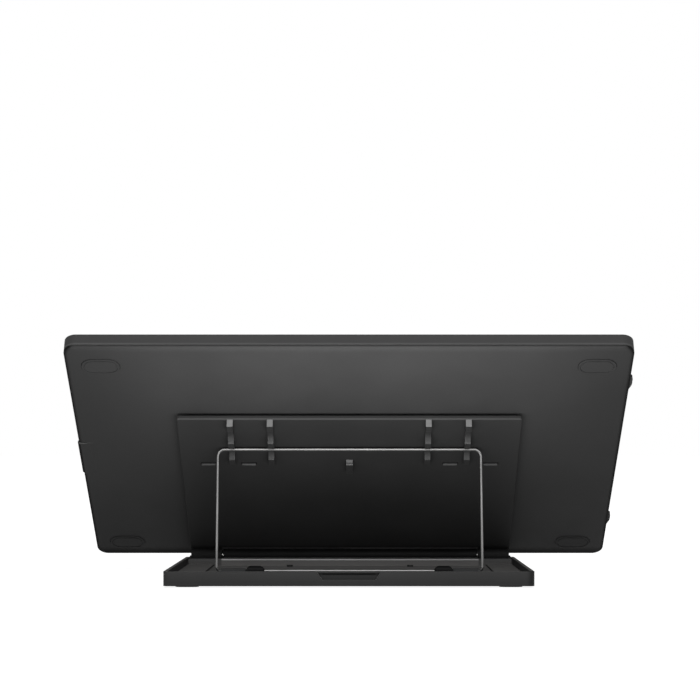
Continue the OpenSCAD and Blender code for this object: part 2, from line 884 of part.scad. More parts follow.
module hinge_pins() {
    reach = plate_w / 2 - knuckle_skin - 0.5 - barrel_half + pin_in_barrel;
    color(STEEL)
        on_plate()
            for (side = [0, 1])
                mirror([side, 0, 0])
                    translate([barrel_half - pin_in_barrel, 0, 0])
                        rotate([0, 90, 0])
                            cylinder(d = pin_d, h = reach);
}

// The barrel between the knuckles: a tube end at each side takes a hinge pin
module hinge_barrel() {
    color(RUBBER)
        difference() {
            translate([-barrel_half, hinge_y, hinge_z])
                rotate([0, 90, 0])
                    cylinder(r = barrel_r, h = 2 * barrel_half);
            for (side = [0, 1])
                mirror([side, 0, 0])
                    translate([barrel_half - pin_in_barrel, hinge_y, hinge_z])
                        rotate([0, 90, 0])
                            cylinder(d = pin_d, h = 1 + pin_in_barrel);
        }
}

// The hinge block: a round-edged ledge across the tray's front, with a trough for the barrel
module hinge_block() {
    round_steps = 6;
    round_middle = [block_reach - block_round, block_top - block_round];
    profile = concat(
        [
            [-hinge_inset, base_z],
            [-hinge_inset, block_front_top],
            [0, block_front_top],
            [block_reach - block_round - 0.6, block_top]
        ],
        [
            for (step = [0:round_steps])
                round_middle + block_round * [sin(90 * step / round_steps), cos(90 * step / round_steps)]
        ],
        [[block_reach, base_z]]
    );
    block_half = base_w / 2 - tray_wall + EPS;
    difference() {
        translate([-block_half, hinge_y, 0])
            rotate([90, 0, 90])
                linear_extrude(2 * block_half)
                    polygon(profile);
        for (side = [0, 1])
            mirror([side, 0, 0])
                translate([barrel_half, hinge_y, hinge_z])
                    rotate([0, 90, 0])
                        cylinder(r = barrel_r + knuckle_room, h = block_half);
        translate([-barrel_half - EPS, hinge_y, hinge_z])
            rotate([0, 90, 0])
                cylinder(r = barrel_r, h = 2 * (barrel_half + EPS));
    }
}

// The finger recess: a sloping-sided hollow in the rear wall, with a groove under the rim
module finger_recess() {
    translate([0, tray_rear + 1, rim_z])
        rotate([90, 0, 0]) {
            linear_extrude(recess_d + 1)
                polygon([
                    [-recess_w / 2, -recess_roof],
                    [recess_w / 2, -recess_roof],
                    [recess_w / 2 - recess_slope, -recess_h],
                    [-recess_w / 2 + recess_slope, -recess_h]
                ]);
            translate([-recess_w / 2 + recess_slope, -recess_roof - groove_h, 0])
                cube([recess_w - 2 * recess_slope, groove_h, recess_d + groove_d + 1]);
        }
}

module tray_slab(low, high, margin) {
    translate([0, tray_front + base_d / 2, low])
        linear_extrude(high - low)
            round_rect(base_w - 2 * margin, base_d - 2 * margin, max(base_corner_r - margin, 0.8));
}

function base_foot_places() = [
    for (side_x = [-1, 1])
        for (y = [tray_front + base_foot_y, tray_rear - base_foot_y])
            [side_x * base_foot_x, y]
];

// Places of the retainers' screws: one in front of and one behind each pivot
screw_reach = retainer_l / 2 - small_shank_d / 2 - 1;
function small_screw_places() = [
    for (side_x = [-1, 1])
        for (side_y = [-1, 1])
            [side_x * retainer_x, pivot_y + side_y * screw_reach]
];
small_head_z = base_z + under_d + 0.2;

module base_tray() {
    inner_w = base_w - 2 * tray_wall;
    side_strip_w = inner_w / 2 - side_step_x;
    strip_front = hinge_y + block_reach - EPS;
    boss_d = recess_d + groove_d + recess_wall;
    color(BLACK)
        difference() {
            union() {
                difference() {
                    tray_slab(base_z, rim_z, 0);
                    tray_slab(tray_floor_z, rim_z + 1, tray_wall);
                    translate([-inner_w / 2, tray_front - 1, tray_floor_z])
                        cube([inner_w, hinge_inset + block_reach, base_h]);
                }
                for (side = [0, 1])
                    mirror([side, 0, 0])
                        translate([side_step_x, strip_front, tray_floor_z - EPS])
                            cube([side_strip_w + EPS, tray_rear - tray_wall + EPS - strip_front, side_step_h + EPS]);
                hinge_block();
                translate([-recess_w / 2 - recess_wall, tray_rear - boss_d, tray_floor_z - EPS])
                    cube([recess_w + 2 * recess_wall, boss_d - tray_wall / 2, tray_d + EPS]);
            }
            finger_recess();
            for (place = base_foot_places())
                translate([place[0], place[1], base_z - EPS])
                    pill(base_foot_l, base_foot_w, base_foot_seat + EPS);
            for (place = small_screw_places())
                translate([place[0], place[1], 0]) {
                    cylinder(d = small_screw_d + loose_gap, h = small_head_z + small_screw_h);
                    cylinder(d = small_shank_d + loose_gap, h = rim_z);
                }
            for (side = [-1, 1])
                translate([side * block_screw_x, hinge_y + block_screw_y, tray_floor_z - small_bite])
                    cylinder(d = small_shank_d, h = rim_z);
            under_hollows();
        }
}

// Two dark screws in the tray floor behind the hinge block
module block_screws() {
    color(RUBBER)
        for (side = [-1, 1])
            translate([side * block_screw_x, hinge_y + block_screw_y, tray_floor_z]) {
                cylinder(d = block_screw_d, h = block_screw_h);
                translate([0, 0, -small_bite])
                    cylinder(d = small_shank_d, h = small_bite + EPS);
            }
}

// Shallow hollows under the tray, between ribs
module under_hollows() {
    columns = 4;
    rows = 3;
    zone_w = base_w - 2 * (base_w / 2 - base_foot_x + base_foot_l / 2 + under_rib);
    zone_front = tray_front + hinge_inset + block_reach + under_rib;
    zone_l = tray_rear - recess_d - groove_d - recess_wall - under_rib - zone_front;
    cell_w = zone_w / columns;
    cell_l = zone_l / rows;
    for (column = [0:columns - 1])
        for (row = [0:rows - 1])
            translate([
                -zone_w / 2 + column * cell_w + under_rib / 2,
                zone_front + row * cell_l + under_rib / 2,
                base_z - EPS
            ])
                cube([cell_w - under_rib, cell_l - under_rib, under_d + EPS]);
}

module base_feet() {
    color(RUBBER)
        for (place = base_foot_places())
            translate([place[0], place[1], 0])
                pill(base_foot_l, base_foot_w, base_foot_h + base_foot_seat);
}

// A bend of the bail in its own plane, from one direction to another.
// It is a hair thinner than the straights, which lap over its ends.
bend_d = wire_d - 0.02;
bend_lap = 0.1;
module wire_bend(radius, from, sweep) {
    rotate([0, 0, from])
        rotate_extrude(angle = sweep)
            translate([radius, 0])
                circle(d = bend_d, $fn = 24);
}

// A straight of the bail along Z, lapping over the bends at both ends
module wire_straight(l) {
    translate([0, 0, -bend_lap])
        cylinder(d = wire_d, h = l + 2 * bend_lap, $fn = 24);
}

// The bail in its own plane: x to the side, y from the pivot bar to the top bar
module flat_bail() {
    slant = (bail_half_low - bail_half_top) / bail_l;
    side_way = [cos(bail_taper), sin(bail_taper)];
    top_bend = [bail_half_top + slant * bend_top_r - bend_top_r / cos(bail_taper), bail_l - bend_top_r];
    low_bend = [bail_half_low - slant * bend_low_r - bend_low_r / cos(bail_taper), bend_low_r];
    leg_low = low_bend + bend_low_r * side_way;
    leg_top = top_bend + bend_top_r * side_way;
    translate([-low_bend[0], 0, 0])
        rotate([0, 90, 0])
            wire_straight(2 * low_bend[0]);
    translate([-top_bend[0], bail_l, 0])
        rotate([0, 90, 0])
            wire_straight(2 * top_bend[0]);
    for (side = [0, 1])
        mirror([side, 0, 0]) {
            translate([low_bend[0], low_bend[1], 0])
                wire_bend(bend_low_r, -90, 90 + bail_taper);
            translate([leg_low[0], leg_low[1], 0])
                rotate([-90, 0, bail_taper])
                    wire_straight(norm(leg_top - leg_low));
            translate([top_bend[0], top_bend[1], 0])
                wire_bend(bend_top_r, bail_taper, 90 - bail_taper);
        }
}

module bail() {
    color(STEEL)
        translate([0, pivot_y, pivot_z])
            rotate([90 - bail_lean, 0, 0])
                flat_bail();
}

// A retainer: a round-shouldered arch over the pivot bar, on a foot
module bail_retainers() {
    arch_r = wire_r + pivot_gap + retainer_wall;
    rise = pivot_z + arch_r - tray_floor_z;
    color(DARK)
        for (side = [0, 1])
            mirror([side, 0, 0])
                translate([retainer_x, pivot_y, 0])
                    difference() {
                        union() {
                            intersection() {
                                translate([-retainer_w / 2, 0, pivot_z])
                                    rotate([0, 90, 0])
                                        cylinder(r = arch_r, h = retainer_w);
                                translate([0, arch_r, tray_floor_z])
                                    rotate([90, 0, 0])
                                        linear_extrude(2 * arch_r)
                                            round_rect(retainer_w, 2 * rise, retainer_round);
                            }
                            translate([-retainer_w / 2, -arch_r, tray_floor_z])
                                cube([retainer_w, 2 * arch_r, retainer_foot_h]);
                            translate([-retainer_w / 2, -retainer_l / 2, tray_floor_z])
                                cube([retainer_w, retainer_l, retainer_foot_h]);
                        }
                        wire_way(-retainer_w, 2 * retainer_w);
                        translate([-retainer_w, -retainer_l, 0])
                            cube([2 * retainer_w, 2 * retainer_l, tray_floor_z]);
                        for (side_y = [-1, 1])
                            translate([0, side_y * screw_reach, 0])
                                cylinder(d = small_shank_d, h = tray_floor_z + small_bite);
                    }
}

// The room for the pivot bar along X, open below so that a piece goes on from above
module wire_way(start, l) {
    translate([start, 0, pivot_z])
        rotate([0, 90, 0])
            cylinder(r = wire_r + pivot_gap, h = l);
    translate([start, -wire_r - pivot_gap, 0])
        cube([l, wire_d + 2 * pivot_gap, pivot_z]);
}

// Low covers over the pivot bar, from each retainer out to the leg
module bar_covers() {
    cover_r = wire_r + pivot_gap + sleeve_wall;
    cover_x = retainer_x + retainer_w / 2;
    cover_l = bail_half_low - bend_low_r - cover_gap - cover_x;
    color(BLACK)
        for (side = [0, 1])
            mirror([side, 0, 0])
                translate([cover_x, pivot_y, 0])
                    difference() {
                        union() {
                            translate([0, 0, pivot_z])
                                rotate([0, 90, 0])
                                    cylinder(r = cover_r, h = cover_l);
                            translate([0, -cover_r, tray_floor_z])
                                cube([cover_l, 2 * cover_r, pivot_z - tray_floor_z]);
                        }
                        wire_way(-1, cover_l + 2);
                        translate([-1, -cover_r - 1, 0])
                            cube([cover_l + 2, 2 * cover_r + 2, tray_floor_z]);
                    }
}

// The retainers' screws, put in from under the tray
module retainer_screws() {
    color(STEEL)
        for (place = small_screw_places())
            translate([place[0], place[1], small_head_z]) {
                cylinder(d = small_screw_d, h = small_screw_h);
                cylinder(d = small_shank_d, h = tray_floor_z + small_bite - small_head_z);
            }
}

cover_glass();
lcd_panel();
backlight_unit();
sensor_board();
shield_plate();
front_frame();
rear_cover();
main_board();
port_board();
port_socket();
key_bezel();
key_board();
key_1();
key_2();
key_3();
key_4();
power_button();
power_switch();
upper_feet();
lower_feet();
cover_screws();
stand_plate();
hook_strips();
bar_clip();
hinge_pins();
hinge_barrel();
base_tray();
base_feet();
block_screws();
bail();
bail_retainers();
bar_covers();
retainer_screws();
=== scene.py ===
"""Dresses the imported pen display: finishes, small fittings, floor, light and camera."""

import json
import math

import bmesh
import bpy
from mathutils import Matrix, Vector


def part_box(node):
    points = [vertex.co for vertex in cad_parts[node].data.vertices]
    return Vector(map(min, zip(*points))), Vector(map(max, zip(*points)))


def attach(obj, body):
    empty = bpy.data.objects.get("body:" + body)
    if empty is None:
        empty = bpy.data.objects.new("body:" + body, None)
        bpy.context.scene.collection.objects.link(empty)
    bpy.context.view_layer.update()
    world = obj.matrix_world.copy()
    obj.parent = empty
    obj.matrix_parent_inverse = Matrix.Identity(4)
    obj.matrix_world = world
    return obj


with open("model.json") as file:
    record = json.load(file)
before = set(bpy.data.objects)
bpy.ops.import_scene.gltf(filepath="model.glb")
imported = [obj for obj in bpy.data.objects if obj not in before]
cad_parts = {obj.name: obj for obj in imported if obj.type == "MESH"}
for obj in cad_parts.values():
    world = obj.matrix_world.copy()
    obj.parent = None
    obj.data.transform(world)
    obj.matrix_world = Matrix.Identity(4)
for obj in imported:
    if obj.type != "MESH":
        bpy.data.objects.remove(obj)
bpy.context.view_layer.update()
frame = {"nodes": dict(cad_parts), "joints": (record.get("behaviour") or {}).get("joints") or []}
nodes = frame["nodes"]
joints = {joint["name"]: joint for joint in frame["joints"]}

# The plate's frame: origin on the hinge axis, Y up the plate, Z out of the screen
TILT = math.radians(35.5)
HINGE = Vector(joints["plate_tilt"]["pos_m"])
ON_PLATE = Matrix.Translation(HINGE) @ Matrix.Rotation(TILT, 4, "X")
UP_PLATE = (0.0, math.cos(TILT), math.sin(TILT))
# In that frame: the display's low edge up the plate, and the frame's rim at the seam out of it
LOW_EDGE = -0.0118
SEAM_TOP = 0.0111
# Ways of the model at rest
UP = (0.0, 0.0, 1.0)
ASIDE = (1.0, 0.0, 0.0)
BACK = (0.0, 1.0, 0.0)
# Screen on the glass: middle up the plate, half its width and height, half the border's blur
SCREEN_MIDDLE = 0.113
SCREEN_HALF_W = 0.147
SCREEN_HALF_H = 0.0825
SCREEN_BLUR = 0.0004
# Hinge block: where the barrel ends on each side, how soon the painted highlight and painted light by the
# barrel fade, the block's rear face
BARREL_END = 0.0942
BARREL_FADE = 0.0008
BLOCK_FACE = -0.0775
# Half the width of the finger recess in the tray's rear wall
RECESS_HALF = 0.0205
# Legs of the bail between its two bars: their middle height and half their height
LEG_MIDDLE = 0.048
LEG_HALF = 0.0395
# Strength and depth of the grain of moulded plastic
GRAIN_STRENGTH = 0.35
GRAIN_DEPTH = 0.00012
# Fingers on each face of the socket's tongue, and the step from one to the next
CONTACT_COUNT = 12
CONTACT_STEP = 0.0014
# Half the floor's side, and how far it lies under the feet
FLOOR_HALF = 20.0
FLOOR_DROP = 0.0002
# Strength of the world's even fill
WORLD_FILL = 0.1


class Field:
    """A socket of a material's node tree that takes part in Python sums."""

    def __init__(self, tree, socket):
        self.tree = tree
        self.socket = socket

    def sum(self, operation, first, second):
        return self.tree.add("ShaderNodeMath", {"operation": operation}, {0: first, 1: second})

    def __add__(self, other):
        return self.sum("ADD", self, other)

    def __radd__(self, other):
        return self.sum("ADD", other, self)

    def __sub__(self, other):
        return self.sum("SUBTRACT", self, other)

    def __rsub__(self, other):
        return self.sum("SUBTRACT", other, self)

    def __mul__(self, other):
        return self.sum("MULTIPLY", self, other)

    def __rmul__(self, other):
        return self.sum("MULTIPLY", other, self)

    def __abs__(self):
        return self.sum("ABSOLUTE", self, 0.0)


class Tree:
    """The nodes of a material or of the world, with one method that adds any node."""

    def __init__(self, owner, output):
        self.owner = owner
        owner.use_nodes = True
        self.nodes = owner.node_tree.nodes
        self.links = owner.node_tree.links
        self.nodes.clear()
        self.output = self.nodes.new(output)

    def add(self, kind, settings=None, inputs=None, out=0):
        node = self.nodes.new(kind)
        for key, value in (settings or {}).items():
            setattr(node, key, value)
        for key, value in (inputs or {}).items():
            self.feed(node.inputs[key], value)
        return Field(self, node.outputs[out])

    def feed(self, socket, value):
        if isinstance(value, Field):
            self.links.new(value.socket, socket)
        else:
            socket.default_value = value

    def place(self):
        return self.add("ShaderNodeTexCoord", out="Object")

    def plate_place(self):
        """Coordinates along the plate, so that a pattern follows the sloping display."""
        turned = Matrix.Rotation(-TILT, 3, "X") @ -HINGE
        return self.add(
            "ShaderNodeMapping",
            {"vector_type": "POINT"},
            {"Vector": self.place(), "Location": turned, "Rotation": (-TILT, 0.0, 0.0)},
        )

    def noise(self, where, scale, detail=2.0, roughness=0.5):
        return self.add(
            "ShaderNodeTexNoise",
            {"noise_dimensions": "3D"},
            {"Vector": where, "Scale": scale, "Detail": detail, "Roughness": roughness},
        )

    def spread(self, value, low, high, out_low, out_high):
        return self.add(
            "ShaderNodeMapRange",
            {"interpolation_type": "SMOOTHSTEP"},
            {"Value": value, "From Min": low, "From Max": high, "To Min": out_low, "To Max": out_high},
        )

    def blend(self, share, first, second):
        return self.add(
            "ShaderNodeMix",
            {"data_type": "RGBA"},
            {0: share, 6: first, 7: second},
            out=2,
        )

    def axes(self, where):
        """The three coordinates of a place, one field each."""
        return [self.add("ShaderNodeSeparateXYZ", None, {"Vector": where}, out=axis) for axis in "XYZ"]

    def facing(self, way):
        """How squarely the surface faces a way of the model at rest: one for straight at it."""
        normal = self.add("ShaderNodeTexCoord", out="Normal")
        return self.add(
            "ShaderNodeVectorMath",
            {"operation": "DOT_PRODUCT"},
            {0: normal, 1: way},
            out="Value",
        )

    def bump(self, height, strength, distance, rounding):
        edge = self.add("ShaderNodeBevel", {"samples": 4}, {"Radius": rounding})
        return self.add(
            "ShaderNodeBump",
            None,
            {"Height": height, "Strength": strength, "Distance": distance, "Normal": edge},
        )

    def mould_skin(self, where, grain):
        """The fine grain and the faint clouding of a moulded surface."""
        return self.noise(where, grain, 3.0, 0.6), self.noise(where, 14.0, 3.0, 0.55)

    def mould_tone(self, fine, cloud, dark, light):
        share = self.spread(cloud + fine * 0.5, 0.5, 1.0, 0.0, 1.0)
        return self.blend(share, dark, light)

    def mould_bump(self, fine, rounding):
        return self.bump(fine, GRAIN_STRENGTH, GRAIN_DEPTH, rounding)

    def surface(self, **sockets):
        names = {key: key.replace("_", " ").title().replace("Ior", "IOR") for key in sockets}
        inputs = {names[key]: value for key, value in sockets.items()}
        shader = self.add("ShaderNodeBsdfPrincipled", None, inputs)
        self.links.new(shader.socket, self.output.inputs["Surface"])
        return self.owner

    def looked_at(self):
        """One for what the camera, a reflection or glass sees, and nought for other light."""
        seen = self.add("ShaderNodeLightPath", out="Is Camera Ray")
        mirrored = self.add("ShaderNodeLightPath", out="Is Glossy Ray")
        through = self.add("ShaderNodeLightPath", out="Is Transmission Ray")
        return seen.sum("MAXIMUM", seen.sum("MAXIMUM", seen, mirrored), through)


def finish_tree(name):
    return Tree(bpy.data.materials.new(name), "ShaderNodeOutputMaterial")


def shade(level, warmth=0.0):
    """A grey of a linear level, warm above nought and cool below."""
    return (level * (1 + warmth), level, level * (1 - warmth), 1.0)


def moulded_plastic(name, dark, light, rough, gloss, grain):
    """Black plastic from a spark-eroded mould: fine grain, faint clouding, dust in the grain."""
    tree = finish_tree(name)
    where = tree.place()
    fine, cloud = tree.mould_skin(where, grain)
    speck = tree.spread(tree.noise(where, grain * 0.6, 1.0), 0.66, 0.8, 0.0, 0.15)
    body = tree.mould_tone(fine, cloud, shade(dark, -0.02), shade(light, -0.02))
    return tree.surface(
        base_color=tree.blend(speck, body, shade(light * 1.8)),
        roughness=tree.spread(cloud, 0.3, 0.7, rough - 0.05, rough + 0.06),
        specular_ior_level=gloss,
        normal=tree.mould_bump(fine, 0.0006),
    )


def cover_plastic(name):
    """The shell's plastic on the rear cover, with painted shade towards the sides, on faces that look
    aside or down the plate, and along the rims and low edge, which are rougher too; and a painted
    highlight on the port pad's top end."""
    tree = finish_tree(name)
    where = tree.place()
    fine, cloud = tree.mould_skin(where, 1500.0)
    body = tree.mould_tone(fine, cloud, shade(0.047), shade(0.058))
    along = tree.axes(tree.plate_place())[1]
    up_plate = tree.facing(UP_PLATE)
    aside = abs(tree.facing(ASIDE))
    # Painted shade: darker on faces that look aside or down the plate, and towards the sides higher up the
    # plate.
    sides = tree.spread(aside, 0.15, 0.6, 0.0, 0.5)
    bottom = tree.spread(up_plate, -0.6, -0.2, 0.5, 0.0)
    upper = tree.spread(along, 0.08, 0.2, 0.1, 1.0)
    outer = tree.spread(abs(tree.axes(where)[0]), 0.11, 0.188, 0.0, 0.55) * upper
    shade_painted = tree.blend(sides + bottom + outer, body, shade(0.024))
    # Painted highlight on the port pad's top end, which looks up the plate.
    pad_end_highlight = tree.spread(up_plate, 0.3, 0.6, 0.0, 1.0) * tree.spread(along, 0.2, 0.21, 1.0, 0.0)
    pad_lit = tree.blend(pad_end_highlight, shade_painted, shade(0.12))
    # Painted shade along the side rims and at the low edge, where the colour goes near black; they are
    # rougher too.
    rim = tree.spread(aside, 0.1, 0.6, 0.0, 1.0)
    low_edge = tree.spread(along, LOW_EDGE, LOW_EDGE + 0.012, 1.0, 0.0)
    dull = rim + low_edge
    return tree.surface(
        base_color=tree.blend(dull, pad_lit, shade(0.004)),
        roughness=tree.spread(cloud, 0.3, 0.7, 0.67, 0.78) + dull * 0.3,
        specular_ior_level=0.15,
        normal=tree.mould_bump(fine, 0.0006),
    )


def frame_plastic(name):
    """The shell's plastic on the front frame, with a painted highlight along its rim at the seam."""
    tree = finish_tree(name)
    where = tree.plate_place()
    fine, cloud = tree.mould_skin(where, 1700.0)
    body = tree.mould_tone(fine, cloud, shade(0.046), shade(0.056))
    out = tree.axes(where)[2]
    # Painted highlight along the frame's rim at the seam.
    rim = tree.spread(out, SEAM_TOP + 0.0012, SEAM_TOP + 0.0017, 1.0, 0.0)
    return tree.surface(
        base_color=tree.blend(rim, body, shade(0.08)),
        roughness=tree.spread(cloud, 0.3, 0.7, 0.67, 0.78),
        specular_ior_level=0.15,
        normal=tree.mould_bump(fine, 0.0006),
    )


def tray_plastic(name):
    """The stand's plastic on the tray: dust and painted light on level faces, painted light on the hinge
    block's rear face, a painted highlight on the round edges, and painted shade in the finger recess
    and at the rear corners."""
    tree = finish_tree(name)
    where = tree.place()
    fine, cloud = tree.mould_skin(where, 1900.0)
    body = tree.mould_tone(fine, cloud, shade(0.026), shade(0.033))
    across, along, _height = tree.axes(where)
    off_middle = abs(across)
    rise = tree.facing(UP)
    level = tree.spread(rise, 0.97, 0.99, 0.0, 1.0)
    upright = tree.spread(rise, 0.97, 0.99, 1.0, 0.0)
    # Level faces paler: dust on them, and painted light on the tray floor.
    dust = level * tree.spread(tree.noise(where, 240.0, 4.0, 0.7), 0.25, 0.6, 0.7, 1.0)
    behind_barrel = tree.spread(off_middle, BARREL_END, BARREL_END + BARREL_FADE, 1.0, 0.4)
    # Painted light on the hinge block's rear face, strongest by the barrel.
    at_block = tree.spread(abs(along - BLOCK_FACE), 0.0005, 0.001, 1.0, 0.0) * behind_barrel
    painted_block_light = at_block * tree.spread(tree.facing(BACK), 0.9, 0.97, 0.0, 1.0)
    dusty_and_lit = tree.blend(dust + painted_block_light, body, shade(0.11, 0.02))
    # Painted highlight on the round edges, strongest by the barrel; they are smoother too.
    edge = tree.spread(rise, 0.4, 0.65, 0.0, 1.0) * tree.spread(rise, 0.9, 0.98, 1.0, 0.0)
    by_barrel = tree.spread(off_middle, BARREL_END, BARREL_END + BARREL_FADE, 1.0, 0.12)
    painted_edge_highlight = edge * by_barrel * tree.spread(cloud, 0.3, 0.7, 0.8, 1.0)
    # The round edges' painted highlight goes into the colour here, over the dust and painted light.
    abraded_and_highlit = tree.blend(painted_edge_highlight, dusty_and_lit, shade(0.62))
    # Painted shade at both ends of the tray's rear wall.
    left_end = tree.spread(across, -0.12, -0.1155, 1.0, 0.0)
    right_end = tree.spread(across, 0.1195, 0.121, 0.0, 0.8)
    painted_corner_shade = (left_end + right_end) * tree.spread(along, 0.095, 0.102, 0.0, 0.95)
    # Painted shade in the finger recess, darkest in the groove at its top.
    in_recess = tree.spread(off_middle, RECESS_HALF, RECESS_HALF + 0.0005, 1.0, 0.0)
    wall_inner = tree.spread(along, 0.1036, 0.104, 0.0, 1.0)
    wall_outer = tree.spread(along, 0.1058, 0.1068, 1.0, 0.0)
    deep = tree.spread(along, 0.1045, 0.1052, 1.0, 0.6)
    painted_recess_shade = in_recess * wall_inner * wall_outer * upright * deep
    return tree.surface(
        base_color=tree.blend(painted_recess_shade + painted_corner_shade, abraded_and_highlit, shade(0.003)),
        roughness=tree.spread(edge, 0.0, 1.0, 0.6, 0.38),
        specular_ior_level=0.2,
        normal=tree.mould_bump(fine, 0.0005),
    )


def plate_plastic(name):
    """The stand's plastic on the plate: a painted highlight on its bevelled top edge and slit edges, and
    painted shade round the hinge."""
    tree = finish_tree(name)
    fine, cloud = tree.mould_skin(tree.place(), 1900.0)
    body = tree.mould_tone(fine, cloud, shade(0.034), shade(0.042))
    up_plate = tree.facing(UP_PLATE)
    along = tree.axes(tree.plate_place())[1]
    bevel = tree.spread(up_plate, 0.5, 0.65, 0.0, 1.0) * tree.spread(up_plate, 0.8, 0.95, 1.0, 0.0)
    off_hinge = tree.spread(along, 0.03, 0.04, 0.0, 1.0)
    # Painted highlight on the bevelled top edge and the slit edges.
    painted_edge_highlight = bevel * off_hinge * tree.spread(along, 0.15, 0.16, 1.0, 0.2)
    # Painted shade round the hinge, near black at the plate's foot.
    hinge = tree.spread(along, 0.006, 0.011, 0.8, 0.0)
    return tree.surface(
        base_color=tree.blend(hinge, tree.blend(painted_edge_highlight, body, shade(0.13)), shade(0.005)),
        roughness=tree.spread(cloud, 0.3, 0.7, 0.65, 0.76),
        specular_ior_level=0.15,
        normal=tree.mould_bump(fine, 0.0004),
    )


def soft_rubber(name, dark, light):
    """Moulded rubber: a dull fine skin with a little dust."""
    tree = finish_tree(name)
    where = tree.place()
    fine = tree.noise(where, 2600.0, 2.0)
    dust = tree.spread(tree.noise(where, 260.0, 3.0, 0.7), 0.55, 0.8, 0.0, 0.35)
    return tree.surface(
        base_color=tree.blend(dust, shade(dark), shade(light, 0.01)),
        roughness=tree.spread(fine, 0.3, 0.7, 0.66, 0.8),
        specular_ior_level=0.15,
        normal=tree.bump(fine, 0.3, 0.0001, 0.0005),
    )


def drawn_wire(name):
    """Drawn steel wire under satin plating: faint streaks along its length, and painted shade under the
    bars, on faces that look aside, at the two low bends, up the legs and on faces that look up."""
    tree = finish_tree(name)
    where = tree.place()
    drawn = tree.add("ShaderNodeMapping", None, {"Vector": where, "Scale": (40.0, 900.0, 900.0)})
    streak = tree.noise(drawn, 1.0, 3.0, 0.6)
    cloud = tree.noise(where, 45.0, 3.0)
    across, _along, height = tree.axes(where)
    bright = tree.blend(tree.spread(cloud, 0.35, 0.7, 0.0, 1.0), shade(0.4, 0.01), shade(0.48, 0.01))
    low = tree.spread(height, 0.0062, 0.0074, 1.0, 0.0)
    # Painted shade at the two low bends, where the low bar meets the legs.
    painted_bend_shade = tree.spread(abs(across), 0.0725, 0.074, 0.0, 1.0) * low
    # Painted shade on faces that look aside.
    painted_side_shade = tree.spread(abs(tree.facing(ASIDE)), 0.4, 0.95, 0.0, 0.85)
    rise = tree.facing(UP)
    on_bars = tree.spread(abs(height - LEG_MIDDLE), LEG_HALF, LEG_HALF + 0.001, 0.0, 1.0)
    # Painted shade under the bars.
    painted_under_shade = tree.spread(rise, -0.3, 0.35, 0.9, 0.0) * on_bars
    # Painted shade growing up the legs.
    painted_leg_shade = tree.spread(height, 0.01, 0.0865, 0.0, 0.5) * tree.spread(on_bars, 0.0, 1.0, 1.0, 0.0)
    # Painted shade on faces that look up, deepest on the low bar.
    painted_top_shade = tree.spread(rise, 0.5, 0.8, 0.0, 0.9) * tree.spread(height, 0.007, 0.008, 1.0, 0.3)
    return tree.surface(
        base_color=tree.blend(painted_bend_shade + painted_side_shade + painted_under_shade + painted_leg_shade + painted_top_shade, bright, shade(0.02)),
        metallic=tree.spread(streak, 0.3, 0.7, 0.1, 0.25),
        roughness=tree.spread(streak, 0.3, 0.7, 0.4, 0.52),
        normal=tree.bump(streak, 0.15, 0.00005, 0.0002),
    )


def hook_steel(name, low_tooth_light):
    """Black-oxide strip steel, bare dull grey on the cut faces that look up the plate; painted shade fades
    that grey on the lower teeth.
    """
    tree = finish_tree(name)
    where = tree.plate_place()
    fine = tree.noise(where, 1500.0, 2.0)
    rub = tree.spread(tree.noise(where, 120.0, 2.0), 0.4, 0.7, 0.85, 1.0)
    # Painted shade: the cut faces' grey fades down the plate, where upper teeth shade the lower ones; the
    # last argument is the share left at the bottom.
    abrasion_and_shade = tree.spread(tree.axes(where)[1], 0.115, 0.158, low_tooth_light, 1.0)
    bare = tree.spread(tree.facing(UP_PLATE), 0.66, 1.0, 0.0, 1.0) * rub * abrasion_and_shade
    return tree.surface(
        base_color=tree.blend(bare, shade(0.046), shade(0.24)),
        metallic=tree.spread(bare, 0.0, 1.0, 0.2, 0.1),
        roughness=tree.spread(bare, 0.0, 1.0, 0.5, 0.62),
        specular_ior_level=0.2,
        normal=tree.bump(fine, 0.12, 0.00006, 0.0003),
    )


def black_oxide(name):
    """Black screws, abraded a little paler on the crown of the head."""
    tree = finish_tree(name)
    where = tree.place()
    fine = tree.noise(where, 1800.0, 3.0)
    abraded_and_highlit = tree.spread(tree.noise(where, 500.0, 3.0), 0.5, 0.75, 0.0, 0.6)
    return tree.surface(
        base_color=tree.blend(abraded_and_highlit, shade(0.008), shade(0.025)),
        metallic=0.6,
        roughness=tree.spread(fine, 0.3, 0.7, 0.4, 0.55),
        normal=tree.bump(fine, 0.15, 0.00005, 0.0003),
    )


def plated_steel(name):
    """Plated steel of the shield, socket, pins and screws, brushed, with a cloudy tone."""
    tree = finish_tree(name)
    where = tree.place()
    brush = tree.add("ShaderNodeMapping", None, {"Vector": where, "Scale": (1600.0, 120.0, 120.0)})
    streak = tree.noise(brush, 1.0, 3.0)
    pale = tree.spread(tree.noise(where, 60.0, 2.0), 0.3, 0.7, 0.0, 1.0)
    return tree.surface(
        base_color=tree.blend(pale, shade(0.4, 0.02), shade(0.58, 0.02)),
        metallic=1.0,
        roughness=tree.spread(streak, 0.3, 0.7, 0.25, 0.42),
        normal=tree.bump(streak, 0.1, 0.00004, 0.0002),
    )


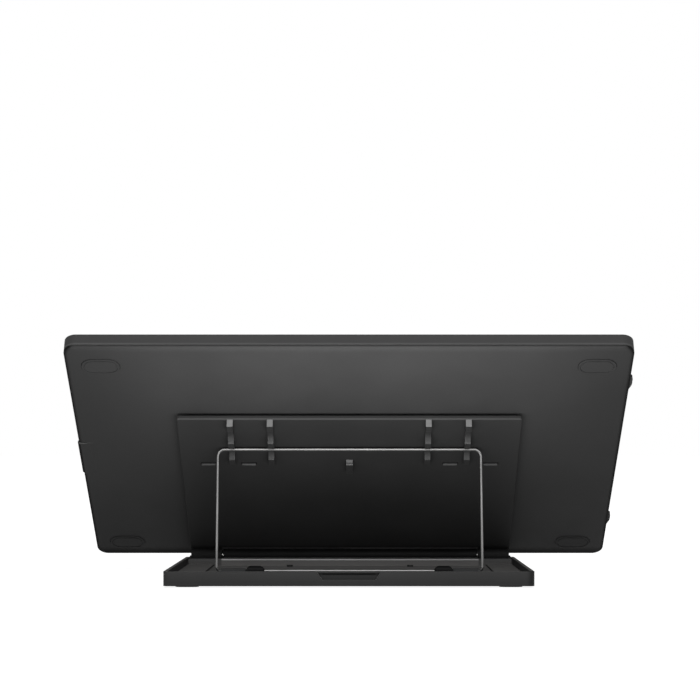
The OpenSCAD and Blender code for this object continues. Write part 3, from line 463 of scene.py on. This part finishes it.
def etched_glass(name):
    """Cover glass: a black printed border round the dark screen, under a fine etch."""
    tree = finish_tree(name)
    where = tree.plate_place()
    across, along, _out = tree.axes(where)
    off_middle = abs(along - SCREEN_MIDDLE)
    in_width = tree.spread(abs(across), SCREEN_HALF_W - SCREEN_BLUR, SCREEN_HALF_W + SCREEN_BLUR, 1.0, 0.0)
    in_height = tree.spread(off_middle, SCREEN_HALF_H - SCREEN_BLUR, SCREEN_HALF_H + SCREEN_BLUR, 1.0, 0.0)
    screen = in_width * in_height
    etch = tree.noise(where, 5200.0, 2.0)
    smear = tree.noise(where, 9.0, 4.0, 0.6)
    lit = tree.blend(smear, shade(0.03, -0.06), shade(0.04, -0.08))
    return tree.surface(
        base_color=tree.blend(screen, shade(0.004), lit),
        roughness=tree.spread(smear, 0.3, 0.75, 0.21, 0.25),
        specular_ior_level=0.28,
        coat_weight=tree.spread(etch, 0.3, 0.7, 0.02, 0.1),
        coat_roughness=0.12,
        normal=tree.bump(etch, 0.03, 0.00003, 0.0004),
    )


def key_satin(name):
    """Satin plastic of the keys and the button, polished a little by touch."""
    tree = finish_tree(name)
    where = tree.plate_place()
    fine = tree.noise(where, 2200.0, 2.0)
    touch = tree.spread(tree.noise(where, 90.0, 3.0), 0.4, 0.7, 0.0, 1.0)
    return tree.surface(
        base_color=tree.blend(touch, shade(0.02), shade(0.028)),
        roughness=tree.spread(touch, 0.0, 1.0, 0.5, 0.38),
        specular_ior_level=0.45,
        normal=tree.bump(fine, 0.15, 0.00006, 0.0004),
    )


def circuit_board(name):
    """Green solder mask over a grid of tracks, with small tinned pads."""
    tree = finish_tree(name)
    where = tree.plate_place()
    tracks = tree.add(
        "ShaderNodeTexBrick",
        {"offset": 0.37},
        {
            "Vector": where,
            "Scale": 220.0,
            "Mortar Size": 0.05,
            "Color1": shade(0.0),
            "Color2": shade(0.2),
            "Mortar": shade(1.0),
        },
        out="Fac",
    )
    dots = tree.add("ShaderNodeTexVoronoi", None, {"Vector": where, "Scale": 320.0, "Randomness": 0.4})
    pads = tree.spread(dots, 0.12, 0.18, 1.0, 0.0)
    mask = tree.blend(tracks, (0.012, 0.075, 0.035, 1.0), (0.03, 0.15, 0.06, 1.0))
    return tree.surface(
        base_color=tree.blend(pads, mask, shade(0.5, 0.05)),
        roughness=tree.spread(pads, 0.0, 1.0, 0.42, 0.3),
        metallic=pads * 0.9,
        normal=tree.bump(tracks, 0.2, 0.00005, 0.0002),
    )


def milky_sheet(name):
    """The backlight's milky diffuser with its fine print of dots."""
    tree = finish_tree(name)
    where = tree.plate_place()
    dots = tree.add("ShaderNodeTexVoronoi", None, {"Vector": where, "Scale": 900.0, "Randomness": 0.1})
    glow = tree.noise(where, 20.0, 2.0)
    return tree.surface(
        base_color=tree.blend(glow, shade(0.72, -0.02), shade(0.84, -0.01)),
        roughness=tree.spread(dots, 0.1, 0.5, 0.35, 0.5),
        normal=tree.bump(dots, 0.1, 0.00004, 0.0002),
    )


def dark_panel(name):
    """The screen panel, dark when off, with the grid of its cells."""
    tree = finish_tree(name)
    where = tree.plate_place()
    cells = tree.add(
        "ShaderNodeTexBrick",
        None,
        {"Vector": where, "Scale": 4000.0, "Mortar Size": 0.08},
        out="Fac",
    )
    haze = tree.noise(where, 12.0, 3.0)
    return tree.surface(
        base_color=tree.blend(cells, shade(0.014, -0.1), shade(0.006)),
        roughness=tree.spread(haze, 0.3, 0.7, 0.16, 0.26),
        normal=tree.bump(cells, 0.05, 0.00002, 0.0002),
    )


def gilt_contact(name):
    """Thin gilding, abraded duller in patches."""
    tree = finish_tree(name)
    where = tree.plate_place()
    abrasion_and_shade = tree.noise(where, 700.0, 3.0)
    bright = (0.75, 0.5, 0.16, 1.0)
    dull = (0.6, 0.4, 0.15, 1.0)
    return tree.surface(
        base_color=tree.blend(tree.spread(abrasion_and_shade, 0.4, 0.7, 0.0, 1.0), bright, dull),
        metallic=1.0,
        roughness=tree.spread(abrasion_and_shade, 0.3, 0.7, 0.2, 0.35),
    )


def light_window(name):
    """The small milky window of the power light, off."""
    tree = finish_tree(name)
    where = tree.plate_place()
    cloud = tree.noise(where, 800.0, 2.0)
    return tree.surface(
        base_color=tree.blend(cloud, shade(0.3, -0.03), shade(0.45, -0.03)),
        roughness=tree.spread(cloud, 0.3, 0.7, 0.25, 0.4),
    )


def dress(object_, material):
    object_.data.materials.clear()
    object_.data.materials.append(material)


def add_object(mesh, name, material):
    """Makes an object of a bmesh, at the origin, and uses the bmesh up."""
    data = bpy.data.meshes.new(name)
    mesh.to_mesh(data)
    mesh.free()
    made = bpy.data.objects.new(name, data)
    bpy.context.scene.collection.objects.link(made)
    dress(made, material)
    return made


def finish_piece(mesh, name, material, body):
    """Makes a piece of a finished bmesh, riding on its body."""
    bmesh.ops.recalc_face_normals(mesh, faces=mesh.faces)
    piece = add_object(mesh, name, material)
    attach(piece, body)


def add_block(mesh, middle, size, soft):
    """A box with soft edges, centred on a point of the plate's frame."""
    corners = bmesh.ops.create_cube(mesh, size=1.0)["verts"]
    bmesh.ops.scale(mesh, vec=size, verts=corners)
    edges = list({edge for corner in corners for edge in corner.link_edges})
    before = set(mesh.verts) - set(corners)
    bmesh.ops.bevel(
        mesh, geom=edges, offset=soft, affect="EDGES", segments=2, profile=0.5, material=-1
    )
    shape = [vert for vert in mesh.verts if vert not in before]
    bmesh.ops.transform(mesh, matrix=ON_PLATE @ Matrix.Translation(middle), verts=shape)


plastic_stand = moulded_plastic("stand_plastic", 0.034, 0.042, 0.7, 0.15, 1900.0)
plastic_black = moulded_plastic("black_plastic", 0.004, 0.006, 0.6, 0.1, 1900.0)
plastic_keys = key_satin("key_plastic")
steel_plate = plated_steel("plated_steel")
green_board = circuit_board("circuit_board")

FINISHES = {
    "front_frame": frame_plastic("shell_plastic"),
    "rear_cover": cover_plastic("cover_plastic"),
    "stand_plate": plate_plastic("plate_plastic"),
    "base_tray": tray_plastic("tray_plastic"),
    "bar_covers": plastic_stand,
    "bail_retainers": plastic_black,
    # The hinge barrel's near-black plastic is painted shade, standing in for the shadow under the plate.
    "hinge_barrel": plastic_black,
    "cover_glass": etched_glass("cover_glass"),
    "lcd_panel": dark_panel("screen_panel"),
    "backlight_unit": milky_sheet("diffuser"),
    "sensor_board": green_board,
    "main_board": green_board,
    "port_board": green_board,
    "key_board": green_board,
    "shield_plate": steel_plate,
    "port_socket": steel_plate,
    "cover_screws": steel_plate,
    "hinge_pins": steel_plate,
    "retainer_screws": steel_plate,
    "bail": drawn_wire("drawn_wire"),
    "hook_strips": hook_steel("hook_steel", 0.0),
    "bar_clip": hook_steel("clip_steel", 1.0),
    "block_screws": black_oxide("black_oxide"),
    "upper_feet": soft_rubber("grey_rubber", 0.042, 0.052),
    # The lower feet are the upper feet's rubber, made darker as painted shade low on the cover.
    "lower_feet": soft_rubber("shaded_rubber", 0.036, 0.044),
    "base_feet": soft_rubber("black_rubber", 0.008, 0.014),
}
FINISHES.update(dict.fromkeys(["key_bezel", "power_button", "power_switch"], plastic_keys))
FINISHES.update(dict.fromkeys(["key_1", "key_2", "key_3", "key_4"], plastic_keys))
for node_name, finish in FINISHES.items():
    dress(nodes[node_name], finish)


def power_light():
    """A small milky window in the right side, further up the plate than the power button."""
    button_low, button_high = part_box("power_button")
    middle = ON_PLATE.inverted() @ ((button_low + button_high) / 2)
    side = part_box("front_frame")[1].x
    mesh = bmesh.new()
    add_block(mesh, Vector((side, middle.y + 0.011, middle.z)), (0.0004, 0.0022, 0.0009), 0.00015)
    finish_piece(mesh, "power_light", light_window("light_window"), "upper")


def socket_contacts():
    """Gilt fingers on both faces of the socket's tongue."""
    low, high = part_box("port_socket")
    middle = ON_PLATE.inverted() @ ((low + high) / 2)
    mesh = bmesh.new()
    for index in range(CONTACT_COUNT):
        step = (index - (CONTACT_COUNT - 1) / 2) * CONTACT_STEP
        for face in (-1, 1):
            place = Vector((high.x - 0.0062, middle.y + step, middle.z + face * 0.00034))
            add_block(mesh, place, (0.007, 0.0006, 0.0001), 0.00003)
    finish_piece(mesh, "socket_contacts", gilt_contact("gilt_contact"), "upper")


power_light()
socket_contacts()


def studio_floor():
    """White paper under the object, which keeps its shadow."""
    mesh = bmesh.new()
    bmesh.ops.create_grid(mesh, x_segments=1, y_segments=1, size=FLOOR_HALF)
    bmesh.ops.translate(mesh, vec=(0.0, 0.0, -FLOOR_DROP), verts=mesh.verts)
    tree = finish_tree("studio_floor")
    paper = tree.add("ShaderNodeBsdfDiffuse", None, {"Color": shade(0.4)})
    far = tree.add("ShaderNodeVectorMath", {"operation": "LENGTH"}, {0: tree.place()}, out="Value")
    strength = tree.looked_at() * tree.spread(far, 0.4, 1.0, 0.9, 1.0)
    glow = tree.add("ShaderNodeEmission", None, {"Color": shade(1.0), "Strength": strength})
    both = tree.add("ShaderNodeAddShader", None, {0: paper, 1: glow})
    tree.links.new(both.socket, tree.output.inputs["Surface"])
    floor = add_object(mesh, "studio_floor", tree.owner)


def studio_world():
    """White where it is looked at, and a dim even fill elsewhere."""
    world = bpy.data.worlds.new("studio")
    bpy.context.scene.world = world
    tree = Tree(world, "ShaderNodeOutputWorld")
    strength = tree.spread(tree.looked_at(), 0.0, 1.0, WORLD_FILL, 1.0)
    back = tree.add("ShaderNodeBackground", None, {"Color": shade(1.0), "Strength": strength})
    tree.links.new(back.socket, tree.output.inputs["Surface"])


def soft_box(name, place, target, size, power):
    """A rectangular lamp that points at a target and isn't seen itself."""
    lamp = bpy.data.lights.new(name, "AREA")
    lamp.shape = "RECTANGLE"
    lamp.size, lamp.size_y = size
    lamp.energy = power
    light = bpy.data.objects.new(name, lamp)
    light.location = place
    aim = Vector(target) - Vector(place)
    light.rotation_euler = aim.to_track_quat("-Z", "Y").to_euler()
    light.visible_camera = False
    bpy.context.scene.collection.objects.link(light)


def photo_camera():
    """Level, behind the stand, as far off as the photograph's perspective asks."""
    eye = bpy.data.cameras.new("photo_camera")
    eye.sensor_width = 36.0
    eye.lens = 114.3
    eye.shift_x = -0.0126
    eye.shift_y = 0.1386
    eye.clip_end = 100.0
    camera = bpy.data.objects.new("photo_camera", eye)
    camera.location = (-0.0065, HINGE.y + 1.645, 0.0919)
    camera.rotation_euler = (math.pi / 2, 0.0, math.pi)
    bpy.context.scene.collection.objects.link(camera)
    bpy.context.scene.camera = camera


studio_floor()
studio_world()
soft_box("key_light", (0.0, 2.0, 1.56), (0.0, 0.0, 0.06), (0.9, 0.3), 34.0)
soft_box("table_light", (0.0, 0.46, 0.003), (0.0, 0.46, 1.0), (0.3, 0.6), 2.6)
soft_box("front_light", (-0.6, -1.4, 1.6), (0.0, 0.0, 0.08), (1.6, 1.0), 10.0)
photo_camera()

bpy.context.scene.view_settings.view_transform = "Standard"
